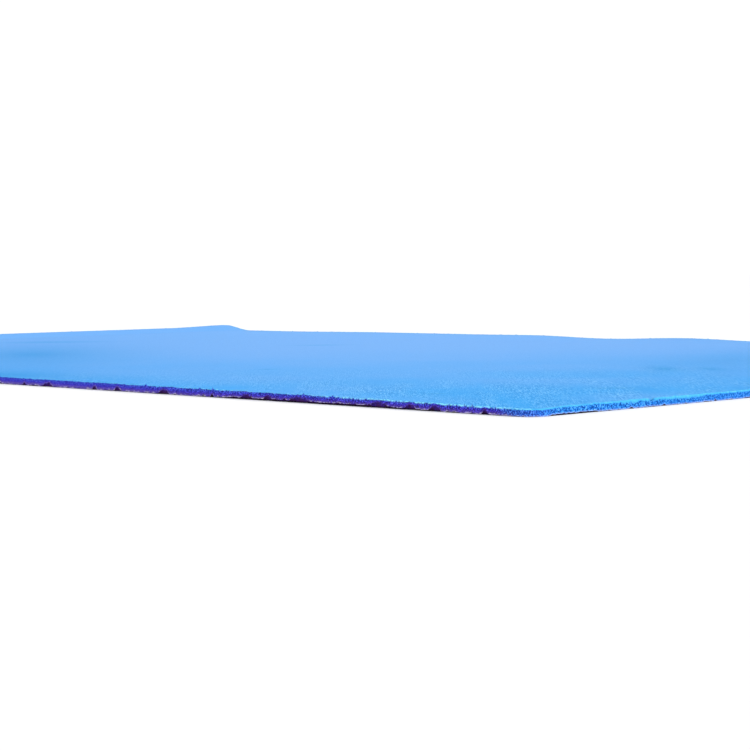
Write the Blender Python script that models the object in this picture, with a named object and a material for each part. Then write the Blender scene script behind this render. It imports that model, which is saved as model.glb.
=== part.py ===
"""Craft foam sheet: one cut sheet of soft closed-cell EVA foam, 600 x 400 x 2 mm, lying on its face.

Units are metres, +Z is up and the sheet lies on z = 0. The origin is under the middle of the sheet. The long
side runs along X and the short side along Y. The sheet is flat apart from two things that a sheet keeps from
being rolled and stacked: the end at -X curls up, and the long side at +Y has low waves.
"""

import math

import bmesh
import bpy
from mathutils import Matrix, Vector

SHEET_LENGTH = 0.600
SHEET_WIDTH = 0.400
SHEET_THICKNESS = 0.002
CORNER_RADIUS = 0.005  # of the four corners, seen from above
EDGE_ROUNDING = 0.0002  # of the upper and the lower arris of the cut edge

CURL_REACH = 0.024  # from the end at -X to where the sheet meets the floor
CURL_RISE = 0.0022  # of that end above the floor
CORNER_RISE = 0.0009  # of the corner at -X, +Y above the rest of that end
CORNER_REACH = 0.045  # along the end, from that corner to where it is no higher

WAVE_REACH = 0.060  # from the side at +Y to where the waves have died out
WAVE_LINE = (
    (0.055, 0.0),
    (0.150, 0.00065),
    (0.205, 0.0007),
    (0.257, 0.00095),
    (0.304, 0.0),
    (0.355, 0.00115),
    (0.410, 0.0),
    (0.465, 0.0009),
    (0.530, 0.0),
)  # the crests and the troughs of that side: distance from the curled end, and height above the floor

CORNER_STEPS = 8
ROUNDING_STEPS = 2
CURL_STEPS = 10
WAVE_STEP = 0.00875  # between the edges that bend over the waves
REACH_STEPS = 6

FOAM_BLUE = (0.14, 0.40, 0.90, 1.0)
FOAM_ROUGHNESS = 0.75

ALONG_X = Vector((1.0, 0.0, 0.0))
ALONG_Y = Vector((0.0, 1.0, 0.0))
SAME_POINT = 1e-6

CURLED_END = -SHEET_LENGTH / 2
WAVY_SIDE = SHEET_WIDTH / 2
CURL_START = CURLED_END + CURL_REACH
WAVE_START = WAVY_SIDE - WAVE_REACH


def falloff(distance, reach):
    """1 at no distance and 0 from the reach on, with a parabola between that ends level."""
    return max(0.0, 1.0 - distance / reach) ** 2


def smooth_rise(distance, reach):
    """0 at no distance and 1 from the reach on, level at both ends."""
    share = min(1.0, max(0.0, distance / reach))
    return share * share * (3.0 - 2.0 * share)


def curl_lift(x, y):
    """Height that the curl adds at a place on the sheet. It leaves the floor and ends level, in an S."""
    corner = CORNER_RISE * (1.0 - smooth_rise(WAVY_SIDE - y, CORNER_REACH))
    return (CURL_RISE + corner) * (1.0 - smooth_rise(x - CURLED_END, CURL_REACH))


def wave_lift(x, y):
    """Height that the waves add at a place on the sheet, level at each crest and trough."""
    from_end = x - CURLED_END
    height = 0.0
    for (start, before), (end, after) in zip(WAVE_LINE, WAVE_LINE[1:]):
        if start < from_end <= end:
            height = before + (after - before) * smooth_rise(from_end - start, end - start)
    return height * falloff(WAVY_SIDE - y, WAVE_REACH)


def flat_slab():
    """The sheet before it curls: a slab with rounded corners and softly rounded arrises."""
    slab = bmesh.new()
    bmesh.ops.create_grid(slab, x_segments=1, y_segments=1, size=0.5)
    bmesh.ops.transform(
        slab,
        matrix=Matrix.Diagonal((SHEET_LENGTH, SHEET_WIDTH, 1.0, 1.0)),
        verts=slab.verts[:],
    )
    bmesh.ops.bevel(
        slab,
        geom=slab.verts[:],
        offset=CORNER_RADIUS,
        segments=CORNER_STEPS,
        profile=0.5,
        affect="VERTICES",
        clamp_overlap=True,
    )
    grown = bmesh.ops.extrude_face_region(slab, geom=slab.faces[:])["geom"]
    upper = [item for item in grown if isinstance(item, bmesh.types.BMVert)]
    bmesh.ops.translate(slab, vec=(0.0, 0.0, SHEET_THICKNESS), verts=upper)
    bmesh.ops.recalc_face_normals(slab, faces=slab.faces[:])
    arrises = [edge for edge in slab.edges if edge.calc_face_angle() > math.radians(60.0)]
    bmesh.ops.bevel(
        slab,
        geom=arrises,
        offset=EDGE_ROUNDING,
        segments=ROUNDING_STEPS,
        profile=0.5,
        affect="EDGES",
        clamp_overlap=True,
    )
    return slab


def cut_across(slab, direction, places, inside):
    """Divides the faces by a plane at each place, where the middle of a face is inside the given area.

    Args:
        slab: the mesh, which keeps its shape and only gets more edges.
        direction: the axis that the planes stand square to.
        places: distances along that axis.
        inside: a function of a point that says whether it is in the area.
    """
    for place in places:
        faces = [face for face in slab.faces if inside(face.calc_center_median())]
        edges = {edge for face in faces for edge in face.edges}
        corners = {corner for face in faces for corner in face.verts}
        bmesh.ops.bisect_plane(
            slab,
            geom=[*faces, *edges, *corners],
            dist=SAME_POINT,
            plane_co=direction * place,
            plane_no=direction,
        )


def divided_slab():
    """The slab with edges wherever the curl or the waves bend it."""
    slab = flat_slab()
    cut_across(slab, ALONG_X, [CURL_START], lambda point: True)
    cut_across(slab, ALONG_Y, [WAVE_START], lambda point: True)
    curl_step = CURL_REACH / CURL_STEPS
    curl_places = [CURLED_END + step * curl_step for step in range(1, CURL_STEPS)]
    cut_across(slab, ALONG_X, curl_places, lambda point: point.x < CURL_START)
    reach_step = WAVE_REACH / REACH_STEPS
    reach_places = [WAVE_START + step * reach_step for step in range(1, REACH_STEPS)]
    cut_across(slab, ALONG_Y, reach_places, lambda point: point.y > WAVE_START)
    wave_count = math.ceil((SHEET_LENGTH - CURL_REACH) / WAVE_STEP)
    wave_places = [CURL_START + step * WAVE_STEP for step in range(1, wave_count)]
    cut_across(slab, ALONG_X, wave_places, lambda point: point.y > WAVE_START and point.x > CURL_START)
    return slab


def foam_material():
    """Matte azure foam, coloured through, so the cut edge is the same stuff as the faces."""
    material = bpy.data.materials.new("azure_eva_foam")
    material.use_nodes = True
    shader = material.node_tree.nodes["Principled BSDF"]
    shader.inputs["Base Color"].default_value = FOAM_BLUE
    shader.inputs["Roughness"].default_value = FOAM_ROUGHNESS
    shader.inputs["Metallic"].default_value = 0.0
    material.diffuse_color = FOAM_BLUE
    return material


def add_foam_sheet():
    """The sheet as it lies: the divided slab, lifted by the curl and the waves."""
    slab = divided_slab()
    for corner in slab.verts:
        corner.co.z += curl_lift(corner.co.x, corner.co.y) + wave_lift(corner.co.x, corner.co.y)
    bmesh.ops.recalc_face_normals(slab, faces=slab.faces[:])
    mesh = bpy.data.meshes.new("foam_sheet")
    slab.to_mesh(mesh)
    slab.free()
    mesh.materials.append(foam_material())
    mesh.shade_smooth()
    mesh.set_sharp_from_angle(angle=math.radians(30.0))
    sheet = bpy.data.objects.new("foam_sheet", mesh)
    bpy.context.scene.collection.objects.link(sheet)
    return sheet


def clear_scene():
    """Removes whatever the file already holds, such as the startup cube."""
    for old in list(bpy.data.objects):
        bpy.data.objects.remove(old, do_unlink=True)


clear_scene()
add_foam_sheet()
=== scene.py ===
"""The finished look of a craft foam sheet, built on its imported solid.

The sheet is one piece of closed-cell EVA foam with a smooth skin on both faces and four guillotined
edges. The blade leaves an upper lip that stands a little proud, an open-celled cut face, and a lower lip
that breaks off in scallops. All lengths are in metres, in the frame of the solid: the sheet lies on z = 0
with its middle over the origin and its long side along X.
"""

import bisect
import logging
import math
import random
from collections.abc import Iterable
from dataclasses import astuple, dataclass, field
from enum import Enum
from typing import Any

import bmesh
import bpy
from mathutils import Matrix, Vector, noise
from mathutils.bvhtree import BVHTree


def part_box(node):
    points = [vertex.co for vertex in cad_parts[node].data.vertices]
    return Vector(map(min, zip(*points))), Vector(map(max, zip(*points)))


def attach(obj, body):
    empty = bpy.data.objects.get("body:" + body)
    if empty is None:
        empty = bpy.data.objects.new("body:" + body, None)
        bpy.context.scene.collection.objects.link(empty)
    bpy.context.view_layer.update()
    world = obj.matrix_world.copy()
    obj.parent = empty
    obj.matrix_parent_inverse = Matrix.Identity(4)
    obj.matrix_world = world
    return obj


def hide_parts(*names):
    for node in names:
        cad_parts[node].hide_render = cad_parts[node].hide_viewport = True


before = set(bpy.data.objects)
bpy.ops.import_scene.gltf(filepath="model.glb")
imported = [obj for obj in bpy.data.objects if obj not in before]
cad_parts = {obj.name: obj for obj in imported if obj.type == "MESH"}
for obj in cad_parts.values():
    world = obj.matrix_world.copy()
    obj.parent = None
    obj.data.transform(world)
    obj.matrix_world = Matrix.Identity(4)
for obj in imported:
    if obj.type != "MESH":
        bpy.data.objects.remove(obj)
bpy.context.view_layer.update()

NODE = "foam_sheet"
BODY = "root"
MM = 0.001
TINY = 1e-6
HALFWAY = 0.5  # between two whole numbers, on which noise is 0, or between two blade strokes

log = logging.getLogger("craft_foam_sheet")


def linear(hex_colour: str) -> tuple[float, float, float, float]:
    """Turns an sRGB hex colour into the linear RGBA that shaders take.

    Args:
        hex_colour: a colour such as "#3C8CE6".

    Returns:
        Red, green, blue and an alpha of 1, in linear light.
    """
    shares = [int(hex_colour[i : i + 2], 16) / 255.0 for i in (1, 3, 5)]
    red, green, blue = (s / 12.92 if s <= 0.04045 else ((s + 0.055) / 1.055) ** 2.4 for s in shares)
    return red, green, blue, 1.0


def per_metre(size_mm: float) -> float:
    """The texture scale at which a pattern's cell is that many millimetres across."""
    return 1.0 / (size_mm * MM)


def clamp(value: float) -> float:
    """The value, held between 0 and 1."""
    return min(1.0, max(0.0, value))


def ramp(value: float, start: float, end: float) -> float:
    """Finds how far a value has come from a start to an end, on a smooth way that is level at both.

    Args:
        value: the value.
        start: where the way starts.
        end: where it ends, which may be the lower one.

    Returns:
        A share that is 0 up to the start and 1 beyond the end.
    """
    share = clamp((value - start) / (end - start))
    return share * share * (3.0 - 2.0 * share)


def add_node(
    tree: bpy.types.NodeTree,
    kind: str,
    settings: dict[str, Any] | None = None,
    sockets: dict[str | int, Any] | None = None,
) -> bpy.types.Node:
    """Adds one shader node with its settings, its fixed values and its incoming links.

    Args:
        tree: the material's or the world's node tree.
        kind: the node type, such as "ShaderNodeBump".
        settings: the node's own properties by name.
        sockets: for each input, by name or number, a value or the output socket that feeds it.

    Returns:
        The new node.
    """
    made = tree.nodes.new(kind)
    for name, value in (settings or {}).items():
        setattr(made, name, value)
    for key, value in (sockets or {}).items():
        if isinstance(value, bpy.types.NodeSocket):
            tree.links.new(value, made.inputs[key])
        else:
            made.inputs[key].default_value = value
    return made


class Finish(Enum):
    """What a face of the sheet is. The value is its material's place in the mesh."""

    SKIN = 0
    CUT = 1


class Tint(Enum):
    """The per-point values that the materials read."""

    # share of painted violet shade, with red bounce light in it, on the cut
    VIOLET = "violet"
    LIP = "lip"
    # share of the painted highlight on the fibres along the top of the cut
    FRINGE = "fringe"
    RIM = "rim"
    # share of painted shade in the torn recess, maroon with red bounce light in it
    TORN = "torn"
    SHADE = "shade"
    OPEN = "open"


class Ripple(Enum):
    """Smooth noise along the edge: the length of its cells in millimetres, and its own row of the noise."""

    LIP_SWELL = (5.0, 1.0)
    FIBRES = (0.6, 2.0)
    LIP_DRIFT = (2.5, 3.0)
    GAP = (5.0, 4.0)
    TEAR_LINE = (0.8, 5.0)
    RIM_PATCHES = (1.6, 6.0)
    FINE_FIBRES = (0.3, 7.0)
    FRINGE_PATCHES = (0.7, 8.0)
    RIM_TOP = (0.8, 9.0)
    FINE_RIM_PATCHES = (0.6, 10.0)
    # patches in the painted shade of the torn recess
    RECESS_SHADE_PATCHES = (0.9, 11.0)

    def at(self, along: float) -> float:
        """The noise at a place along the outline, from -1 to 1."""
        length_mm, row = self.value
        return noise.noise(Vector((along / (length_mm * MM), row, HALFWAY)))


@dataclass(frozen=True)
class Mottle:
    """A cloudy pattern in a finish.

    Args:
        size_mm: width of its cells.
        detail: number of finer layers on it.
        roughness: strength of those layers.
    """

    size_mm: float
    detail: float
    roughness: float = 0.55

    def sockets(self) -> dict[str, float]:
        """The pattern as a Noise Texture node takes it."""
        return {"Scale": per_metre(self.size_mm), "Detail": self.detail, "Roughness": self.roughness}


@dataclass(frozen=True)
class Band:
    """The band of a pattern's values over which something comes to show.

    Args:
        start: value at which it begins to.
        full: value from which on it shows fully, which may be the lower one.
        most: how much of it there is then.
        least: how much of it there is before the start.
    """

    start: float
    full: float
    most: float
    least: float = 0.0

    def sockets(self) -> dict[str, float]:
        """The band as a Map Range node takes it."""
        return {"From Min": self.start, "From Max": self.full, "To Min": self.least, "To Max": self.most}


@dataclass(frozen=True)
class RubMark:
    """A soft oval place on the skin that rubbing has left a little deeper in colour, in millimetres.

    Args:
        x: of its middle.
        y: of its middle.
        length: from end to end.
        width: across.
        strength: how much of the rubbed tint it shows at its middle.
        turn_degrees: from X to its length, anticlockwise seen from above.
    """

    x: float
    y: float
    length: float
    width: float
    strength: float
    turn_degrees: float = 45.0


@dataclass(frozen=True)
class FoamFinish:
    """What both finishes of the foam share: a dull shader with a fine relief.

    Args:
        name: of the material.
        roughness: of the shader.
        specular: its specular level.
        relief: strength of its bump.
        relief_mm: depth of its bump.
    """

    name: str
    roughness: float
    specular: float
    relief: float
    relief_mm: float

    def begin(self) -> tuple[bpy.types.Material, bpy.types.NodeSocket]:
        """Makes the material with nothing in it but the coordinates.

        Returns:
            The material, and the socket with the place on the sheet.
        """
        made = bpy.data.materials.new(self.name)
        made.use_nodes = True
        made.node_tree.nodes.clear()
        return made, add_node(made.node_tree, "ShaderNodeTexCoord").outputs["Object"]

    def end(
        self, tree: bpy.types.NodeTree, colour: bpy.types.NodeSocket, height: bpy.types.NodeSocket
    ) -> None:
        """Adds the relief, the shader and the output.

        Args:
            tree: the material's node tree.
            colour: the socket with its colour.
            height: the socket with the height of its relief.
        """
        bumps = {"Height": height, "Strength": self.relief, "Distance": self.relief_mm * MM}
        normal = add_node(tree, "ShaderNodeBump", sockets=bumps).outputs["Normal"]
        shader = add_node(
            tree,
            "ShaderNodeBsdfPrincipled",
            sockets={
                "Base Color": colour,
                "Roughness": self.roughness,
                "Specular IOR Level": self.specular,
                "Normal": normal,
            },
        )
        add_node(tree, "ShaderNodeOutputMaterial", sockets={"Surface": shader.outputs["BSDF"]})


@dataclass(frozen=True)
class FoamSkin(FoamFinish):
    """The skin of moulded EVA foam: dull, softly clouded, with fine scuffs.

    The press leaves it without a highlight, so its colour shows plainly. A painted sheen pales it away from
    one corner, as a haze seen at a flat angle would. It is uneven over a few centimetres, which shows as
    clouds, and rubbed places are a little deeper. The scuffs are light and dark flecks a quarter of a
    millimetre wide.
    They run with the direction that the sheet is slid in and grow faint away from that corner. Real ones
    are shorter, and these are drawn out because the flat angle of the view would hide them.
    """

    name: str = "eva_foam_skin"
    roughness: float = 0.6
    specular: float = 0.01
    relief: float = 0.6
    relief_mm: float = 0.03
    face: str = "#279CE8"
    # pale: the painted sheen that grows away from the corner, and also the lighter tone of the clouds
    pale: str = "#6AA7EA"
    deep: str = "#2796E2"
    rubbed: str = "#2390D8"
    fleck: str = "#8ED6FF"
    pore: str = "#1780D0"
    lip: str = "#58ACE0"
    sheen_and_scuff_corner: tuple[float, float] = (0.3, -0.2)
    slide_degrees: float = 135.7  # from X to the way that the sheet is slid, anticlockwise
    paling_mm: float = 420.0  # over which the painted sheen pales the colour away from the corner
    patch_stretch: float = 5.0
    scuff_stretch: float = 17.0
    cloud: Mottle = Mottle(size_mm=60.0, detail=0.6)
    cloud_band: Band = Band(0.38, 0.68, 0.38)
    patch: Mottle = Mottle(size_mm=14.0, detail=1.0)
    patch_band: Band = Band(0.46, 0.72, 0.50)
    handling: Mottle = Mottle(size_mm=11.0, detail=2.0)
    handling_band: Band = Band(0.28, 0.64, 0.9)
    scuff: Mottle = Mottle(size_mm=0.26, detail=0.0)
    fleck_band: Band = Band(0.54, 0.64, 0.50)
    pore_band: Band = Band(0.46, 0.35, 0.60)
    scuffed_mm: float = 90.0  # from the corner, up to which the scuffs are at their strongest
    unscuffed_mm: float = 230.0  # from the corner, beyond which they are at their faintest
    least_scuffed: float = 0.12
    rub_marks: tuple[RubMark, ...] = (
        RubMark(208.0, -23.0, 72.0, 24.0, 0.992, 135.7),
        RubMark(221.0, -14.0, 56.0, 20.0, 0.768, 135.7),
        RubMark(262.0, -119.0, 30.0, 12.0, 0.96),
        RubMark(94.0, -108.0, 16.0, 12.0, 0.72),
        RubMark(238.0, -169.0, 13.0, 10.0, 0.88),
        RubMark(-60.0, 60.0, 55.0, 22.0, 0.56),
        RubMark(-205.0, -95.0, 40.0, 16.0, 0.64),
        RubMark(-90.0, -85.0, 420.0, 170.0, 0.72, 146.0),
        RubMark(40.0, -190.0, 240.0, 90.0, 0.72, 0.0),
        RubMark(190.0, 40.0, 340.0, 130.0, 0.416, 115.0),
        RubMark(-215.0, 10.0, 120.0, 60.0, 0.48, 45.0),
    )

    def rubbing(
        self, tree: bpy.types.NodeTree, where: bpy.types.NodeSocket, mark: RubMark
    ) -> bpy.types.NodeSocket:
        """Adds the nodes that give the share of one rub mark.

        Args:
            tree: the material's node tree.
            where: the socket with the place on the sheet.
            mark: the rub mark.

        Returns:
            The socket with the mark's share.
        """
        local = add_node(
            tree,
            "ShaderNodeMapping",
            {"vector_type": "TEXTURE"},
            {
                "Vector": where,
                "Location": (mark.x * MM, mark.y * MM, 0.0),
                "Rotation": (0.0, 0.0, math.radians(mark.turn_degrees)),
                "Scale": (mark.length * MM / 2, mark.width * MM / 2, 1.0),
            },
        ).outputs[0]
        oval = add_node(
            tree, "ShaderNodeTexGradient", {"gradient_type": "QUADRATIC_SPHERE"}, {"Vector": local}
        ).outputs["Fac"]
        fading = add_node(tree, "ShaderNodeMapRange", sockets={"Value": oval, "To Max": mark.strength})
        return fading.outputs["Result"]

    def scuffs(
        self,
        tree: bpy.types.NodeTree,
        away: bpy.types.NodeSocket,
        handled: bpy.types.NodeSocket,
        marks: Iterable[bpy.types.NodeSocket],
    ) -> list[bpy.types.NodeSocket]:
        """Adds the nodes that make the scuffs faint away from the handled corner and patchy near it.

        Args:
            tree: the material's node tree.
            away: the socket whose X is the distance from that corner, in shares of the paling.
            handled: the socket that says where handling has scuffed the skin.
            marks: the sockets with the flecks and the pores, even all over.

        Returns:
            The sockets with the shares of the flecks and the pores.
        """
        distance = add_node(tree, "ShaderNodeSeparateXYZ", sockets={"Vector": away}).outputs["X"]
        scuffed = add_node(
            tree,
            "ShaderNodeMapRange",
            sockets={
                "Value": distance,
                "From Min": self.unscuffed_mm / self.paling_mm,
                "From Max": self.scuffed_mm / self.paling_mm,
                "To Min": self.least_scuffed,
                "To Max": handled,
            },
        ).outputs["Result"]
        return [
            add_node(tree, "ShaderNodeMath", {"operation": "MULTIPLY"}, {0: mark, 1: scuffed}).outputs[0]
            for mark in marks
        ]

    def material(self) -> bpy.types.Material:
        """Makes the skin's material.

        Returns:
            The material.
        """
        skin, where = self.begin()
        tree = skin.node_tree
        corner = (*self.sheen_and_scuff_corner, 0.0)
        turn = (0.0, 0.0, math.radians(self.slide_degrees))
        slid, smeared, away = (
            add_node(
                tree,
                "ShaderNodeMapping",
                {"vector_type": "TEXTURE"},
                {"Vector": where, "Location": corner, "Rotation": turn, "Scale": (stretch, 1.0, 1.0)},
            ).outputs[0]
            for stretch in (self.scuff_stretch, self.patch_stretch, self.paling_mm * MM)
        )
        paling = add_node(tree, "ShaderNodeTexGradient", {"gradient_type": "EASING"}, {"Vector": away})
        shares = []
        for vector, mottle, band in (
            (where, self.cloud, self.cloud_band),
            (smeared, self.patch, self.patch_band),
            (smeared, self.handling, self.handling_band),
            (slid, self.scuff, self.fleck_band),
            (slid, self.scuff, self.pore_band),
        ):
            pattern = add_node(tree, "ShaderNodeTexNoise", sockets={"Vector": vector, **mottle.sockets()})
            value = {"Value": pattern.outputs["Fac"]}
            share = add_node(tree, "ShaderNodeMapRange", sockets={**value, **band.sockets()})
            shares.append(share.outputs["Result"])
        clouds, patches, handled, *marks = shares
        flecks, pores = self.scuffs(tree, away, handled, marks)
        lip = add_node(tree, "ShaderNodeAttribute", {"attribute_name": Tint.LIP.value}).outputs["Fac"]
        colour = linear(self.face)
        for share, tint in (
            (patches, self.deep),
            # painted sheen: the colour pales with the distance from the corner
            (paling.outputs["Fac"], self.pale),
            (clouds, self.pale),
            *((self.rubbing(tree, where, mark), self.rubbed) for mark in self.rub_marks),
            (flecks, self.fleck),
            (pores, self.pore),
            (lip, self.lip),
        ):
            inputs = {0: share, 6: colour, 7: linear(tint)}
            colour = add_node(tree, "ShaderNodeMix", {"data_type": "RGBA"}, inputs).outputs[2]
        self.end(tree, colour, flecks)
        return skin


@dataclass(frozen=True)
class CutFoam(FoamFinish):
    """The guillotined edge of the same foam.

    Its cells are open, so light goes in deep and comes out a fuller blue, speckled with dark pores and
    bright cell walls. Painted violet shade, with red bounce light in it, lies on the cut, most on the side
    at -Y and a little way round the near corner, and less towards the top. The upper lip keeps the skin's
    lighter blue, and the bright fibres along its top are a painted highlight. The lower lip whitens where
    its fibres are drawn out. Where it is torn off, the recess is painted shade: maroon with red bounce
    light in it, and near black at the bottom. The cells are drawn about 0.4 mm wide, two or three times
    their real size, so that they show.
    """

    name: str = "eva_foam_cut"
    roughness: float = 0.85
    specular: float = 0.1
    relief: float = 0.8
    relief_mm: float = 0.12
    face: str = "#116CC8"
    # painted violet shade on the cut, with red bounce light in it
    violet: str = "#3A28BC"
    lip: str = "#46ACE6"
    # painted highlight of the fibres along the top of the cut
    fringe: str = "#88E2FF"
    rim: str = "#E0D8FF"
    pore: str = "#0A40AC"
    wall: str = "#46A8EC"
    # painted shade in the torn recess, maroon with red bounce light in it
    torn: str = "#44205E"
    shade: str = "#110616"
    cell: Mottle = Mottle(size_mm=0.38, detail=1.0, roughness=0.6)
    cell_height_share: float = 1.1
    wall_band: Band = Band(0.51, 0.62, 0.8)
    pore_band: Band = Band(0.50, 0.38, 1.0)
    speck_band: Band = Band(0.57, 0.68, 0.08)
    depth_band: Band = Band(0.37, 0.63, 0.6, -0.80)  # how much lighter a cell is, or darker

    def material(self) -> bpy.types.Material:
        """Makes the cut edge's material.

        Returns:
            The material.
        """
        cut, where = self.begin()
        tree = cut.node_tree
        drawn = add_node(
            tree,
            "ShaderNodeMapping",
            {"vector_type": "TEXTURE"},
            {"Vector": where, "Scale": (1.0, 1.0, self.cell_height_share)},
        ).outputs[0]
        pattern = add_node(tree, "ShaderNodeTexNoise", sockets={"Vector": drawn, **self.cell.sockets()})
        cells = pattern.outputs["Fac"]
        violet, lip, fringe, rim, torn, shade, is_open = (
            add_node(tree, "ShaderNodeAttribute", {"attribute_name": tint.value}).outputs["Fac"]
            for tint in Tint
        )
        walls, pores, specks, depths = (
            add_node(tree, "ShaderNodeMapRange", sockets={"Value": cells, **band.sockets()}).outputs[0]
            for band in (self.wall_band, self.pore_band, self.speck_band, self.depth_band)
        )
        walls, pores = (
            add_node(tree, "ShaderNodeMath", {"operation": "MULTIPLY"}, {0: share, 1: is_open}).outputs[0]
            for share in (walls, pores)
        )
        inputs = {0: depths, 1: is_open, 2: 1.0}
        brightness = add_node(tree, "ShaderNodeMath", {"operation": "MULTIPLY_ADD"}, inputs).outputs[0]
        colour = linear(self.face)
        for share, tint in ((walls, self.wall), (pores, self.pore), (violet, self.violet)):
            inputs = {0: share, 6: colour, 7: linear(tint)}
            colour = add_node(tree, "ShaderNodeMix", {"data_type": "RGBA"}, inputs).outputs[2]
        inputs = {"Value": brightness, "Color": colour}
        colour = add_node(tree, "ShaderNodeHueSaturation", sockets=inputs).outputs["Color"]
        for share, tint in (
            (specks, self.rim),
            (lip, self.lip),
            (fringe, self.fringe),
            (rim, self.rim),
            (torn, self.torn),
            (shade, self.shade),
        ):
            inputs = {0: share, 6: colour, 7: linear(tint)}
            colour = add_node(tree, "ShaderNodeMix", {"data_type": "RGBA"}, inputs).outputs[2]
        self.end(tree, colour, cells)
        return cut


@dataclass(frozen=True)
class Outline:
    """The sheet seen from above: a rectangle with round corners.

    Args:
        length: along X.
        width: along Y.
        radius: of the corners.
    """

    length: float
    width: float
    radius: float

    def core(self, x: float, y: float) -> tuple[float, float]:
        """Finds the nearest point of the rectangle that joins the middles of the corner arcs.

        Args:
            x: of the point.
            y: of the point.

        Returns:
            The x and y of the point of that rectangle.
        """
        half_x = self.length / 2 - self.radius
        half_y = self.width / 2 - self.radius
        return min(half_x, max(-half_x, x)), min(half_y, max(-half_y, y))

    def outward(self, x: float, y: float) -> Vector:
        """The level direction that leads straight out of the sheet from a point near its edge."""
        core_x, core_y = self.core(x, y)
        return Vector((x - core_x, y - core_y, 0.0)).normalized()

    def inset(self, x: float, y: float) -> float:
        """How far a point near the edge lies inside the outline."""
        core_x, core_y = self.core(x, y)
        return self.radius - math.hypot(x - core_x, y - core_y)

    def arc(self) -> float:
        """Length of one corner's arc."""
        return self.radius * math.pi / 2

    def starts(self) -> tuple[float, ...]:
        """Finds where each side starts along the outline.

        Returns:
            The starts of the sides at -Y, +X, +Y and -X, and the whole length of the outline.
        """
        run_x = self.length - 2 * self.radius
        run_y = self.width - 2 * self.radius
        places = [0.0]
        for run in (run_x, run_y, run_x, run_y):
            places.append(places[-1] + run + self.arc())
        return tuple(places)

    def along(self, x: float, y: float) -> float:
        """Finds how far along the outline a point near the edge lies.

        Args:
            x: of the point.
            y: of the point.

        Returns:
            The distance, anticlockwise from the -X end of the side at -Y.
        """
        core_x, core_y = self.core(x, y)
        half_x = self.length / 2 - self.radius
        half_y = self.width / 2 - self.radius
        quarter = (math.atan2(y - core_y, x - core_x) / (math.pi / 2) + 1.0 + TINY) % 4
        side = int(quarter)
        run = (half_x + core_x, half_y + core_y, half_x - core_x, half_y - core_y)[side]
        return self.starts()[side] + run + self.arc() * (quarter - side)


@dataclass(frozen=True)
class Fade:
    """A smooth change from nothing to everything.

    Args:
        start: value at which there is still nothing.
        end: value at which there is everything, which may be the lower one.
    """

    start: float
    end: float

    def at(self, value: float) -> float:
        """How much there is at a value, from 0 to 1."""
        return ramp(value, self.start, self.end)


@dataclass(frozen=True)
class Stretch:
    """A part of the edge with soft ends. Its distances are from the near corner.

    Args:
        coming: how it comes in with the distance.
        going: how it comes in from its far end back.
    """

    coming: Fade
    going: Fade

    def at(self, distance: float) -> float:
        """How much of it there is at a distance, from 0 to 1."""
        return self.coming.at(distance) * self.going.at(distance)


@dataclass(frozen=True)
class CleanToViolet:
    """A value that changes from the clean stroke to the ragged one, by the stroke's share of painted violet
    shade.

    Args:
        clean: on a clean cut.
        all_violet: on a cut that is all in painted violet shade.
    """

    clean: float
    all_violet: float

    def at(self, violet: float) -> float:
        """The value at a share of violet from 0 to 1."""
        return self.clean + (self.all_violet - self.clean) * violet


@dataclass(frozen=True)
class BladeStroke:
    """How one side was cut. Each stroke of the blade leaves its own burrs, and each side has its own share
    of painted violet shade.

    Args:
        upper_lip: how far the torn upper lip stands above the skin.
        round_over: radius to which the upper arris is drawn over.
        lip_depth: how far down the cut the torn upper lip reaches.
        fray: how far the upper lip's fibres stand up and sink.
        gap: height of the strip at the bottom that the lower lip has torn away from.
        violet: how much painted violet shade, with red bounce light in it, lies on the cut, from 0 to 1.
    """

    upper_lip: float
    round_over: float
    lip_depth: float
    fray: float
    gap: float
    violet: float

    def turning_into(self, other: "BladeStroke", share: float) -> "BladeStroke":
        """Blends this stroke with another one.

        Args:
            other: the other stroke.
            share: how much of it there is, from 0 to 1.

        Returns:
            The blended stroke.
        """
        pairs = zip(astuple(self), astuple(other))
        return BladeStroke(*(mine + (theirs - mine) * share for mine, theirs in pairs))


@dataclass(frozen=True)
class Tear:
    """A torn place along the outline: a notch over the lower lip, or a shred or nick of the upper one.

    Args:
        place: of its middle along the outline.
        half_width: from its middle to its end.
        height: of the notch above the floor, of the shred above the skin, or of the nick below it.
    """

    place: float
    half_width: float
    height: float

    def share(self, along: float) -> float:
        """How much of a shred or nick there is at a place along the outline, from 0 to 1."""
        return math.exp(-(((along - self.place) / self.half_width) ** 2))


@dataclass(frozen=True)
class TearRange:
    """The least and the most of the gaps between tears, their half widths and their heights, in mm."""

    gap_mm: tuple[float, float]
    half_width_mm: tuple[float, float]
    height_mm: tuple[float, float]

    def scattered(self, draw: random.Random, start: float, end: float) -> list[Tear]:
        """Draws tears between two places along the outline.

        Args:
            draw: what they are drawn from.
            start: the first of the places.
            end: the last of them.

        Returns:
            The tears, in order.
        """
        gap, half_width, height = (
            [bound * MM for bound in bounds] for bounds in (self.gap_mm, self.half_width_mm, self.height_mm)
        )
        tears = []
        place = start + draw.uniform(*gap) / 2
        while place < end:
            tears.append(Tear(place, draw.uniform(*half_width), draw.uniform(*height)))
            place += draw.uniform(*gap)
        return tears


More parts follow.
